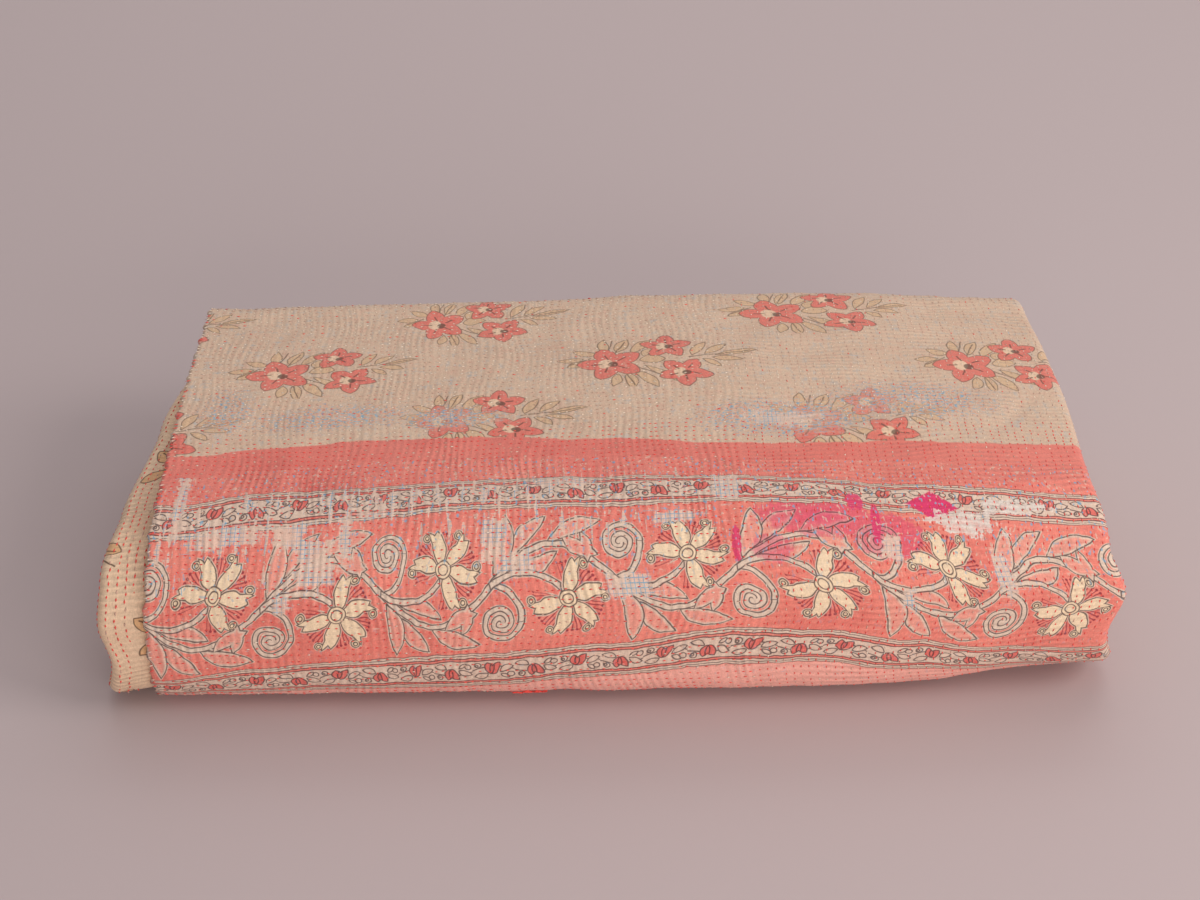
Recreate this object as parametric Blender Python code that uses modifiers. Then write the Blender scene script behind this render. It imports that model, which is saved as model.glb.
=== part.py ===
"""Kantha quilt, folded for a shelf.

The quilt is one sheet.  It is folded back and forth into four plies along its length, and the
pack of plies is then folded in half twice across its width, so sixteen layers lie on each other.
The outermost ply runs from the underside, up the front and back over the top.

Frame: X runs along the folded quilt, Y from its front to its back, Z up.  Metres.
"""
from math import cos, exp, pi, sin

import bmesh
import bpy

# --- driving sizes -------------------------------------------------------------------------
LENGTH = 0.513          # width of the outermost ply, left edge to right fold
DEPTH = 0.294           # front face to back folds
HEIGHT = 0.109          # of the folded pack, before it crowns
CLOTH = 0.0046          # thickness of the stitched layers of old cotton
PLIES = 4               # of the accordion
LAYERS = 4 * PLIES      # in the whole pack
PITCH = (HEIGHT - CLOTH) / (LAYERS - 1)      # one layer and the air over it
REACH = 0.062           # how far the front fold bulges ahead of where it starts

FRONT_BOX = 3.6         # superellipse power of the front fold below its middle: a tight corner
FRONT_ROUND = 2.15      # and above it: a soft shoulder
BACK_BOX = 2.5          # the same for the fold at the back
NEST = 2                # how late the inner layers leave the outer one's outline

CROWN = 0.0085          # extra height in the middle of the top
BOW = 0.009             # how far the foot of the front bows out
BOW_LOST = (0.15, 0.9)  # share of it lost at the left and right ends
CORNER_LIFT = 0.010     # the lower right front corner stands off the table
SAG = 0.0045            # how far the fold that sticks out at the left drops
RIPPLE = 0.0008         # slack waves in the pack

# --- where the folds at the two ends lie ------------------------------------------------------
# Way round the pack: 0-1 underside, 1-2 front, 2-3 top, 3-4 fold at the back,
# 4-5 inner top, 5-6 inner front, 6-7 inner underside.
# Columns: way, free edge of the outer ply, left fold, right fold, deeper right fold, inner edge.
# Each value is metres beyond the nominal end of the quilt, outwards.
ENDS = (
    (0.0, -0.002, 0.014, -0.004, -0.010, -0.004),
    (0.7, 0.000, 0.022, 0.000, -0.009, -0.006),
    (1.0, 0.002, 0.028, 0.008, -0.010, -0.006),
    (1.2, 0.004, 0.027, 0.013, -0.009, -0.005),
    (1.4, 0.005, 0.021, 0.005, -0.007, -0.004),
    (1.55, 0.005, 0.026, 0.012, -0.006, -0.005),
    (1.7, 0.003, 0.024, 0.003, -0.008, -0.008),
    (2.0, 0.001, 0.017, -0.001, -0.009, -0.010),
    (2.4, 0.001, 0.006, 0.001, -0.007, -0.010),
    (2.7, 0.000, -0.003, 0.000, -0.006, -0.009),
    (3.0, -0.001, -0.004, -0.002, -0.007, -0.008),
    (4.0, -0.003, -0.001, -0.005, -0.009, -0.007),
    (5.0, -0.006, 0.012, -0.004, -0.010, -0.006),
    (5.5, -0.006, 0.027, -0.006, -0.012, -0.006),
    (6.0, -0.005, 0.018, -0.007, -0.012, -0.008),
    (7.0, -0.006, 0.010, -0.006, -0.010, -0.006),
)

# --- how finely each stretch is divided ---------------------------------------------------------
PLY_CELLS = (12, 8, 6, 6)                       # along each ply, outermost first
CREASE_CELLS = 5                                # round each fold of the accordion
WAY_CELLS = (3, 11, 5, 6, 3, 8, 3)              # along each stretch of the way round

QUILT_COLOUR = (0.62, 0.33, 0.24, 1.0)
QUILT_ROUGHNESS = 0.92


def smooth(share):
    """Ease from 0 to 1."""
    share = min(max(share, 0.0), 1.0)
    return share * share * (3.0 - 2.0 * share)


def blend(start, end, share):
    return start + (end - start) * share


def end_offset(way, column):
    """Read one column of ENDS at a point of the way round, eased between its rows."""
    for low, high in zip(ENDS, ENDS[1:]):
        if way <= high[0]:
            share = smooth((way - low[0]) / (high[0] - low[0]))
            return blend(low[column], high[column], share)
    return ENDS[-1][column]


def ply_depth(ply):
    """Depth of a ply's middle below the outer surface of the pack."""
    return CLOTH / 2 + ply * PITCH


def long_stations():
    """Stations along the sheet: (ply, share of it) on a ply, (crease, angle) round a fold."""
    stations = []
    for ply, cells in enumerate(PLY_CELLS):
        last = cells if ply == PLIES - 1 else cells - 1
        first = 0 if ply == 0 else 1
        stations += [("ply", ply, i / cells) for i in range(first, last + 1)]
        if ply < PLIES - 1:
            stations += [("crease", ply, pi * i / CREASE_CELLS) for i in range(CREASE_CELLS + 1)]
    return stations


def way_stations():
    """Stations round the pack, as stretch number plus share of it."""
    stations = [0.0]
    for stretch, cells in enumerate(WAY_CELLS):
        stations += [stretch + (i + 1) / cells for i in range(cells)]
    return stations


def accordion(station, way):
    """Place a station along the sheet: x, and depth below the outside of the pack."""
    kind, ply, part = station
    left = (-LENGTH / 2 - end_offset(way, 1), -LENGTH / 2 - end_offset(way, 2),
            -LENGTH / 2 - end_offset(way, 2), -LENGTH / 2 - end_offset(way, 5))
    right = (LENGTH / 2 + end_offset(way, 3), LENGTH / 2 + end_offset(way, 3),
             LENGTH / 2 + end_offset(way, 4), LENGTH / 2 + end_offset(way, 4))
    goes_right = ply % 2 == 0
    if kind == "ply":
        start, end = (left[ply], right[ply]) if goes_right else (right[ply], left[ply])
        return blend(start, end, part), ply_depth(ply)
    side = 1.0 if goes_right else -1.0
    middle = ply_depth(ply + 0.5)
    x = (right if goes_right else left)[ply] + side * PITCH / 2 * sin(part)
    return x, middle - PITCH / 2 * cos(part)


def superellipse(angle, across, up, power):
    """Radius of a superellipse with half-axes across and up, at an angle above level."""
    return (abs(cos(angle) / across) ** power + abs(sin(angle) / up) ** power) ** (-1 / power)


def front_fold(share_up, depth):
    """The fold at the front, from the underside (0) to the top (1): y ahead of it, and z."""
    angle = blend(-pi / 2, pi / 2, share_up)
    power = blend(FRONT_BOX, FRONT_ROUND, smooth(share_up * 1.6 - 0.3))
    outer = superellipse(angle, REACH, HEIGHT / 2, power)
    radius = outer - depth - (outer - HEIGHT / 2) * (depth / (HEIGHT / 2)) ** NEST
    return radius * cos(angle), HEIGHT / 2 + radius * sin(angle)


def back_fold(share_down, depth):
    """The fold at the back, from the top (0) to the inner top (1): y behind it, and z."""
    middle = ply_depth(PLIES - 0.5)
    angle = blend(pi / 2, -pi / 2, share_down)
    radius = superellipse(angle, middle, middle, BACK_BOX) * (1 - depth / middle)
    return radius * cos(angle), HEIGHT - middle + radius * sin(angle)


def wrap(way, depth):
    """Place a point of the way round the pack, at a depth in it: y, z."""
    front = -DEPTH / 2 + REACH
    back = DEPTH / 2 - ply_depth(PLIES - 0.5)
    free = DEPTH / 2 - 0.010
    inner = 2 * ply_depth(PLIES - 0.5) - depth
    stretch = min(int(way), len(WAY_CELLS) - 1)
    share = way - stretch
    if stretch == 0:
        return blend(free - 1.2 * depth, front, share), depth
    if stretch == 1:
        ahead, z = front_fold(share, depth)
        return front - ahead, z
    if stretch == 2:
        return blend(front, back, share), HEIGHT - depth
    if stretch == 3:
        behind, z = back_fold(share, depth)
        return back + behind, z
    if stretch == 4:
        return blend(back, front, share), HEIGHT - inner
    if stretch == 5:
        ahead, z = front_fold(1 - share, inner)
        return front - ahead, z
    return blend(front, free - 0.8 * inner, share), inner


def settle(x, y, z):
    """Let the whole pack sag and crown the way a soft stack does; the table side stays flat."""
    across = x / (LENGTH / 2)
    along = y / (DEPTH / 2)
    up = (z - CLOTH / 2) / HEIGHT
    crown = exp(-((across - 0.30) / 0.70) ** 2) * (1.0 - 0.35 * max(along, 0.0) ** 2)
    slack = sin(11.0 * x + 5.0 * y) + 0.7 * sin(23.0 * x - 17.0 * y + 1.3) + 0.5 * sin(41.0 * x + 9.0 * y)
    z += (CROWN * crown - 0.006 * smooth(along) + RIPPLE * slack) * up
    ahead = smooth(0.5 - along) * (1 - BOW_LOST[across > 0] * abs(across) ** 2.4)
    y -= BOW * ahead * (0.35 + 0.65 * (1 - up))
    corner = smooth((across - 0.55) / 0.4) * smooth((-along - 0.35) / 0.6)
    z += CORNER_LIFT * corner * (1 - up)
    hanging = smooth((-x - LENGTH / 2 - 0.003) / 0.018)
    z -= SAG * hanging
    y -= SAG * hanging * smooth(-along)
    return x, y, z


def quilt_mesh():
    """The sheet's middle surface, folded."""
    along, round_ = long_stations(), way_stations()
    bm = bmesh.new()
    bmesh.ops.create_grid(bm, x_segments=len(along) - 1, y_segments=len(round_) - 1, size=0.5)
    for vert in bm.verts:
        station = along[round((vert.co.x + 0.5) * (len(along) - 1))]
        way = round_[round((vert.co.y + 0.5) * (len(round_) - 1))]
        x, depth = accordion(station, way)
        y, z = wrap(way, depth)
        vert.co = settle(x, y, z)
    middle = [(min(v.co[k] for v in bm.verts) + max(v.co[k] for v in bm.verts)) / 2 for k in (0, 1)]
    bmesh.ops.translate(bm, verts=bm.verts, vec=(-middle[0], -middle[1], 0.0))
    bmesh.ops.recalc_face_normals(bm, faces=bm.faces)
    mesh = bpy.data.meshes.new("quilt")
    bm.to_mesh(mesh)
    bm.free()
    return mesh


def cotton():
    material = bpy.data.materials.new("printed_cotton")
    material.use_nodes = True
    shader = material.node_tree.nodes["Principled BSDF"]
    shader.inputs["Base Color"].default_value = QUILT_COLOUR
    shader.inputs["Roughness"].default_value = QUILT_ROUGHNESS
    shader.inputs["Metallic"].default_value = 0.0
    return material


def main():
    for old in list(bpy.data.objects):
        bpy.data.objects.remove(old, do_unlink=True)
    collection = bpy.data.collections.new("kantha_quilt")
    bpy.context.scene.collection.children.link(collection)

    quilt = bpy.data.objects.new("quilt", quilt_mesh())
    quilt.data.materials.append(cotton())
    collection.objects.link(quilt)
    thickness = quilt.modifiers.new("cloth thickness", "SOLIDIFY")
    thickness.thickness = CLOTH
    thickness.offset = 0.0
    thickness.use_even_offset = False


main()
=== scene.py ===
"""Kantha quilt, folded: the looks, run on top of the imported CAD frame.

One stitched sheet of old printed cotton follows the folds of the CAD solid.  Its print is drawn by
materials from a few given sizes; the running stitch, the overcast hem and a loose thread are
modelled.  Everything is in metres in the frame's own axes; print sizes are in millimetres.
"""
from bisect import bisect_right
from math import atan2, cos, exp, hypot, pi, radians, sin
from random import Random

import bmesh
import bpy
from bpy.props import FloatProperty, FloatVectorProperty, IntProperty, PointerProperty
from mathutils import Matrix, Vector, noise


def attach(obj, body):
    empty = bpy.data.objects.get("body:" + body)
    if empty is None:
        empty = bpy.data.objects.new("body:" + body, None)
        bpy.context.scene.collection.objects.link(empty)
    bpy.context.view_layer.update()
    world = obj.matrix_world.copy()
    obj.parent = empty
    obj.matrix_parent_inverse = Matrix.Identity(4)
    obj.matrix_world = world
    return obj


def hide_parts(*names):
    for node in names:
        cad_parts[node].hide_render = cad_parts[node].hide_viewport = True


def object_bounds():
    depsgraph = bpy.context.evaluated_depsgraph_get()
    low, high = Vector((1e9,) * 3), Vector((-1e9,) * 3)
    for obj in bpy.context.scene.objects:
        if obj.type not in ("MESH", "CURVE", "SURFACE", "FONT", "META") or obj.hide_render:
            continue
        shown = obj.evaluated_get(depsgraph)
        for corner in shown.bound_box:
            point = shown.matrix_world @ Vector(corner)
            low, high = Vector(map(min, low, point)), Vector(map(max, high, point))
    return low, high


bl_info = {
    "name": "Kantha quilt",
    "version": (1, 0, 0),
    "blender": (4, 5, 0),
    "location": "3D View > Sidebar > Kantha",
    "description": "Makes a folded kantha quilt: its cloth, its printed borders and its stitches",
    "category": "Object",
}

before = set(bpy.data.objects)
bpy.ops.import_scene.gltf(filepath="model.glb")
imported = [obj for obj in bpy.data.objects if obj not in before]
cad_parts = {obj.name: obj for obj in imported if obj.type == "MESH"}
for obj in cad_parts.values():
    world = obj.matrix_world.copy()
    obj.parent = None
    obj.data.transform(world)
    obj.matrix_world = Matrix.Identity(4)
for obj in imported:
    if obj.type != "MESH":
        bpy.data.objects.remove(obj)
CAD_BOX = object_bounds()
NODE = "quilt"
BODY = "root"
MM = 0.001
PLIES = 4

# Where the folds at the two ends lie, in metres beyond the nominal ends of the quilt, outwards.
# Way round the pack: 0-1 underside, 1-2 front, 2-3 top, 3-4 fold at the back, 4-5 inner top,
# 5-6 inner front, 6-7 inner underside.
# Columns: way, free edge of the outer ply, left fold, right fold, deeper right fold, inner edge.
ENDS = (
    (0.0, -0.002, 0.014, -0.004, -0.010, -0.004),
    (0.7, 0.000, 0.022, 0.000, -0.009, -0.006),
    (1.0, 0.002, 0.028, 0.008, -0.010, -0.006),
    (1.2, 0.004, 0.027, 0.013, -0.009, -0.005),
    (1.4, 0.005, 0.021, 0.005, -0.007, -0.004),
    (1.55, 0.005, 0.026, 0.012, -0.006, -0.005),
    (1.7, 0.003, 0.024, 0.003, -0.008, -0.008),
    (2.0, 0.001, 0.017, -0.001, -0.009, -0.010),
    (2.4, 0.001, 0.006, 0.001, -0.007, -0.010),
    (2.7, 0.000, -0.003, 0.000, -0.006, -0.009),
    (3.0, -0.001, -0.004, -0.002, -0.007, -0.008),
    (4.0, -0.003, -0.001, -0.005, -0.009, -0.007),
    (5.0, -0.006, 0.012, -0.004, -0.010, -0.006),
    (5.5, -0.006, 0.027, -0.006, -0.012, -0.006),
    (6.0, -0.005, 0.018, -0.007, -0.012, -0.008),
    (7.0, -0.006, 0.010, -0.006, -0.010, -0.006),
)

# Where the printed bands lie, in millimetres above the foot of the front fold.  Hand printing and
# hard wear leave them uneven.  Columns: place along the quilt, lower edge of the lower border,
# foot of the scroll band, head of the scroll band, upper edge of the upper border, edge of the
# plain ground, slip of the print along the quilt.
BANDS = (
    (10, 55, 72, 155, 181, 228, 0),
    (59, 58, 80, 161, 193, 237, 0),
    (109, 61, 85, 166, 196, 243, 0),
    (174, 62, 88, 170, 198, 241, 9),
    (249, 70, 93, 169, 197, 233, 8),
    (309, 76, 101, 170, 194, 225, 7),
    (359, 77, 98, 168, 190, 223, 3),
    (409, 69, 90, 161, 183, 226, -1),
    (459, 59, 79, 155, 179, 222, 2),
    (499, 51, 74, 152, 175, 222, 3),
)
# The same edges as printed on flat cloth, and one last height above which nothing is pulled.
PRINTED = (0.0, 26.0, 100.0, 128.0, 166.0)
CALM = (364.0, 301.0)

BORDER_MIDDLE = 63.0        # of the two borders and the scroll band between them, in the print
BORDER_REACH = 50.4         # from there to the middle of each vine border
CORAL_MIDDLE = 51.0         # of everything printed on coral, borders and plain bands
CORAL_REACH = 115.0         # from there to the edge of the flowered ground
MATERIAL_REACH = 96.0       # from there to where the ground's material takes over from the borders'

# Soft troughs and ridges.  Columns: place along and above the foot of the front fold in
# millimetres, heading in degrees, half length, half width, height.
CREASES = (
    (327, 110, 90, 62, 3.5, -0.8),
    (69, 205, 84, 60, 6.0, 0.5),
    (141, 140, 78, 55, 5.0, -0.5),
    (224, 190, 96, 70, 7.0, 0.6),
    (439, 165, 8, 60, 5.0, -0.9),
    (464, 182, 4, 50, 5.0, 0.8),
    (479, 128, 60, 34, 5.0, -0.8),
    (424, 250, 20, 60, 8.0, 0.7),
    (489, 262, 55, 45, 6.0, -0.8),
    (129, 330, 5, 90, 9.0, 0.6),
    (309, 300, -6, 80, 9.0, -0.5),
    (389, 350, 12, 80, 10.0, 0.6),
)


def linear(red, green, blue):
    """A colour as a screen shows it (0 to 255) to the linear one that a shader takes."""
    values = [channel / 255 for channel in (red, green, blue)]
    return tuple(v / 12.92 if v <= 0.04045 else ((v + 0.055) / 1.055) ** 2.4 for v in values)


CREAM = linear(216, 190, 168)
PETAL = linear(232, 203, 168)
GROUND = linear(214, 183, 155)
GROUND_DULL = linear(194, 159, 133)
BLUSH = linear(208, 152, 132)
CORAL = linear(232, 136, 118)
CORAL_DEEP = linear(212, 106, 94)
# Paler coral for the strip below the lower border, where the front fold turns to face the floor: painted
# bounce light from below, partly fade of the cloth.
LEAF_CORAL = linear(228, 142, 124)
CORAL_PALE_PAINTED_LIGHT = linear(242, 178, 160)
INK = linear(78, 58, 58)
HAIR = linear(140, 46, 58)
BUD = linear(218, 96, 86)
ROSE = linear(222, 116, 100)
OCHRE = linear(214, 172, 126)
BROWN = linear(92, 68, 52)
REVERSE = linear(230, 196, 162)
REVERSE_DULL = linear(210, 172, 140)
REVERSE_LEAF = linear(220, 164, 108)
CHECK_PALE = linear(220, 188, 166)
CHECK_BLUE = linear(120, 166, 188)
FRAYED = linear(222, 206, 192)
MAGENTA = linear(214, 60, 102)
STITCH_RED = linear(240, 74, 60)
STITCH_FADED = linear(212, 168, 144)
STITCH_PALE = linear(236, 216, 192)


# --- settings -----------------------------------------------------------------------------------
class KanthaSizes(bpy.types.PropertyGroup):
    """Driving sizes of the folded quilt."""

    length: FloatProperty(name="Width of outer ply", description="Left edge to right fold",
                          default=0.513, unit="LENGTH")
    depth: FloatProperty(name="Depth", description="Front face to back folds",
                         default=0.294, unit="LENGTH")
    height: FloatProperty(name="Height", description="Of the folded pack before it crowns",
                          default=0.109, unit="LENGTH")
    cloth: FloatProperty(name="Cloth", description="Thickness of the stitched layers",
                         default=0.0046, unit="LENGTH")
    reach: FloatProperty(name="Reach", description="How far the front fold bulges forward",
                         default=0.062, unit="LENGTH")
    crown: FloatProperty(name="Crown", description="Extra height in the middle of the top",
                         default=0.0085, unit="LENGTH")
    bow: FloatProperty(name="Bow", description="How far the front bows out in the middle",
                       default=0.009, unit="LENGTH")
    corner_lift: FloatProperty(name="Corner lift", description="Lower right front corner off the table",
                               default=0.010, unit="LENGTH")
    sag: FloatProperty(name="Sag", description="Drop of the fold that sticks out at the left",
                       default=0.0045, unit="LENGTH")
    ripple: FloatProperty(name="Ripple", description="Slack waves through the whole pack",
                          default=0.0008, unit="LENGTH")
    relief: FloatProperty(name="Relief", description="Height of the small waves in the outer ply",
                          default=0.0007, unit="LENGTH")


class KanthaStitches(bpy.types.PropertyGroup):
    """The running stitch and the hem."""

    pitch: FloatProperty(name="Pitch", description="One stitch to the next in a row",
                         default=0.0043, unit="LENGTH")
    row: FloatProperty(name="Row", description="One row of stitches to the next",
                       default=0.0045, unit="LENGTH")
    long: FloatProperty(name="Length", description="Thread that shows at each stitch",
                        default=0.0023, unit="LENGTH")
    thick: FloatProperty(name="Thickness", description="Of the sewing thread",
                         default=0.0009, unit="LENGTH")
    turn: FloatProperty(name="Turn", description="Place along the quilt where the rows change heading",
                        default=0.327, unit="LENGTH")
    seed: IntProperty(name="Seed", description="Of the unevenness of the hand sewing", default=7)


def dye_setting(name, description, default):
    return FloatVectorProperty(name=name, description=description, default=default,
                               subtype="COLOR", min=0.0, max=1.0)


class KanthaColours(bpy.types.PropertyGroup):
    """Dyes of the print, the cloth under it and the threads."""

    ground: dye_setting("Ground", "Cloth of the flowered ground", GROUND)
    coral: dye_setting("Coral", "Dye of the borders where it is palest", CORAL)
    coral_deep: dye_setting("Deep coral", "Dye of the borders at its fullest", CORAL_DEEP)
    leaf: dye_setting("Leaf middles", "Of the scroll", LEAF_CORAL)
    cream: dye_setting("Cream", "Undyed cloth in the borders", CREAM)
    petal: dye_setting("Petals", "Flowers of the scroll", PETAL)
    ink: dye_setting("Ink", "Outlines in the borders", INK)
    rose: dye_setting("Rose", "Flowers of the ground", ROSE)
    magenta: dye_setting("Magenta", "Cloth that shows through the borders", MAGENTA)
    check: dye_setting("Check", "Blue threads under the worn print", CHECK_BLUE)
    reverse: dye_setting("Reverse", "Cloth of the other side", REVERSE)
    red_thread: dye_setting("Red thread", "Of the running stitch and hem", STITCH_RED)


class KanthaStage(bpy.types.PropertyGroup):
    """Floor, lights and camera."""

    floor: FloatVectorProperty(name="Floor", description="Colour of the floor", subtype="COLOR",
                               default=linear(190, 172, 169))
    lens: FloatProperty(name="Lens", description="Focal length on a 36 mm sensor",
                        default=72.0, unit="CAMERA")
    pitch: FloatProperty(name="Pitch", description="Camera tilt below level",
                         default=radians(32.4), subtype="ANGLE")
    yaw: FloatProperty(name="Yaw", description="Camera turn from straight ahead",
                       default=radians(1.24), subtype="ANGLE")
    distance: FloatProperty(name="Distance", description="Camera to the middle of the quilt",
                            default=1.44, unit="LENGTH")


def sizes():
    return bpy.context.scene.kantha_sizes


def dye(name):
    return tuple(getattr(bpy.context.scene.kantha_colours, name))


def smooth(share):
    """Ease from 0 to 1."""
    share = min(max(share, 0.0), 1.0)
    return share * share * (3.0 - 2.0 * share)


def blend(start, end, share):
    return start + (end - start) * share


def read_row(table, at, column):
    """One column of a table whose first column rises, eased between its rows."""
    if at <= table[0][0]:
        return table[0][column]
    for low, high in zip(table, table[1:]):
        if at <= high[0]:
            return blend(low[column], high[column], smooth((at - low[0]) / (high[0] - low[0])))
    return table[-1][column]


# --- the fold -------------------------------------------------------------------------------------
class Fold:
    """Places a point of the flat sheet in the folded pack, as the CAD solid does."""

    FRONT_BOX, FRONT_ROUND, BACK_BOX, NEST = 3.6, 2.15, 2.5, 2

    def __init__(self, size):
        self.size = size
        self.pitch = (size.height - size.cloth) / (4 * PLIES - 1)
        self.shift = (0.0, 0.0)
        self.ways, self.heights = [], []
        travelled, last = 0.0, None
        for step in range(701):
            way = step / 100
            point = Vector(self.wrap(way, 0.0))
            travelled += (point - last).length if last else 0.0
            last = point
            self.ways.append(way)
            self.heights.append(travelled)
        self.foot = self.heights[100]

    def depth(self, ply):
        return self.size.cloth / 2 + ply * self.pitch

    def along(self, way):
        """Flat distance across the sheet from its free edge to a point of the way round."""
        at = min(int(way * 100), 699)
        return blend(self.heights[at], self.heights[at + 1], way * 100 - at)

    def way_at(self, travelled):
        at = min(max(bisect_right(self.heights, travelled) - 1, 0), 699)
        span = self.heights[at + 1] - self.heights[at]
        return self.ways[at] + 0.01 * (travelled - self.heights[at]) / max(span, 1e-9)

    def accordion(self, station, way):
        """A station along the sheet: x, and depth below the outside of the pack."""
        kind, ply, part = station
        half = self.size.length / 2
        edge, fold, right, deeper, inner = (read_row(ENDS, way, column) for column in range(1, 6))
        left = (-half - edge, -half - fold, -half - fold, -half - inner)
        right = (half + right, half + right, half + deeper, half + deeper)
        goes_right = ply % 2 == 0
        if kind == "ply":
            start, end = (left[ply], right[ply]) if goes_right else (right[ply], left[ply])
            return blend(start, end, part), self.depth(ply)
        side = 1.0 if goes_right else -1.0
        x = (right if goes_right else left)[ply] + side * self.pitch / 2 * sin(part)
        return x, self.depth(ply + 0.5) - self.pitch / 2 * cos(part)

    @staticmethod
    def superellipse(angle, across, up, power):
        return (abs(cos(angle) / across) ** power + abs(sin(angle) / up) ** power) ** (-1 / power)

    def front_fold(self, share_up, depth):
        half = self.size.height / 2
        angle = blend(-pi / 2, pi / 2, share_up)
        power = blend(self.FRONT_BOX, self.FRONT_ROUND, smooth(share_up * 1.6 - 0.3))
        outer = self.superellipse(angle, self.size.reach, half, power)
        radius = outer - depth - (outer - half) * (depth / half) ** self.NEST
        return radius * cos(angle), half + radius * sin(angle)

    def back_fold(self, share_down, depth):
        middle = self.depth(PLIES - 0.5)
        angle = blend(pi / 2, -pi / 2, share_down)
        radius = self.superellipse(angle, middle, middle, self.BACK_BOX) * (1 - depth / middle)
        return radius * cos(angle), self.size.height - middle + radius * sin(angle)

    def wrap(self, way, depth):
        """A point of the way round the pack, at a depth in it: y, z."""
        size = self.size
        front = -size.depth / 2 + size.reach
        back = size.depth / 2 - self.depth(PLIES - 0.5)
        free = size.depth / 2 - 0.010
        inner = 2 * self.depth(PLIES - 0.5) - depth
        stretch = min(int(way), 6)
        share = way - stretch
        if stretch == 0:
            return blend(free - 1.2 * depth, front, share), depth
        if stretch == 1:
            ahead, z = self.front_fold(share, depth)
            return front - ahead, z
        if stretch == 2:
            return blend(front, back, share), size.height - depth
        if stretch == 3:
            behind, z = self.back_fold(share, depth)
            return back + behind, z
        if stretch == 4:
            return blend(back, front, share), size.height - inner
        if stretch == 5:
            ahead, z = self.front_fold(1 - share, inner)
            return front - ahead, z
        return blend(front, free - 0.8 * inner, share), inner

    def settle(self, x, y, z):
        """The sag and crown of the whole pack; the side on the table stays flat."""
        size = self.size
        across = x / (size.length / 2)
        along = y / (size.depth / 2)
        up = (z - size.cloth / 2) / size.height
        crown = exp(-((across - 0.30) / 0.70) ** 2) * (1.0 - 0.35 * max(along, 0.0) ** 2)
        slack = sin(11 * x + 5 * y) + 0.7 * sin(23 * x - 17 * y + 1.3) + 0.5 * sin(41 * x + 9 * y)
        z += (size.crown * crown - 0.006 * smooth(along) + size.ripple * slack) * up
        ahead = smooth(0.5 - along) * (1 - (0.9 if across > 0 else 0.15) * abs(across) ** 2.4)
        y -= size.bow * ahead * (0.35 + 0.65 * (1 - up))
        corner = smooth((across - 0.55) / 0.4) * smooth((-along - 0.35) / 0.6)
        z += size.corner_lift * corner * (1 - up)
        hanging = smooth((-x - size.length / 2 - 0.003) / 0.018)
        z -= size.sag * hanging
        y -= size.sag * hanging * smooth(-along)
        return x + self.shift[0], y + self.shift[1], z

    def middle(self, station, way):
        """A point of the sheet's middle surface."""
        x, depth = self.accordion(station, way)
        y, z = self.wrap(way, depth)
        return Vector(self.settle(x, y, z))

    @property
    def turn(self):
        """Flat length that one fold of the accordion takes up."""
        return self.pitch * pi / 2

    @property
    def whole(self):
        """Flat length of the whole sheet."""
        return PLIES * self.size.length + (PLIES - 1) * self.turn

    def station_at(self, place):
        """The station at a flat distance along the sheet from the outer ply's free edge."""
        lap = self.size.length + self.turn
        ply = min(int(max(place, 0.0) / lap), PLIES - 1)
        rest = place - ply * lap
        if rest <= self.size.length or ply == PLIES - 1:
            return "ply", ply, rest / self.size.length
        return "crease", ply, pi * (rest - self.size.length) / self.turn

    def relief(self, place, height):
        """Small waves and listed creases in the outer ply, along its normal."""
        fade = smooth((self.size.length - place) / 0.03) * smooth((height - self.heights[60]) / 0.06)
        fade *= smooth((self.heights[380] - height) / 0.04)
        if not fade:
            return 0.0
        waves = noise.noise(Vector((place * 34, height * 26, 3.1)))
        waves += 0.6 * noise.noise(Vector((place * 95, height * 60, 7.7)))
        lift = waves * self.size.relief
        for x, y, heading, half_long, half_wide, rise in CREASES:
            dx, dy = place / MM - x, (height - self.foot) / MM - y
            c, s = cos(radians(heading)), sin(radians(heading))
            far, off = dx * c + dy * s, dy * c - dx * s
            lift += rise * MM * exp(-((far / half_long) ** 2) - (off / half_wide) ** 2)
        return lift * fade

    def surface(self, place, height, side=1, out=0.0):
        """A point on one side of the sheet and its outward normal, along and up directions.

        place runs along the flat sheet and height across it; side is 1 for print, -1 for reverse."""
        way, step = self.way_at(height), 0.0008
        here = self.middle(self.station_at(place), way)
        back = -step if place + step > self.whole else step
        along = (self.middle(self.station_at(place + back), way) - here) / back
        up = self.middle(self.station_at(place), way + 0.004) - here
        along, up = along.normalized(), up.normalized()
        normal = along.cross(up).normalized()
        lift = self.relief(place, height) + side * (self.size.cloth / 2 + out)
        return here + normal * lift, normal * side, along, up


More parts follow.
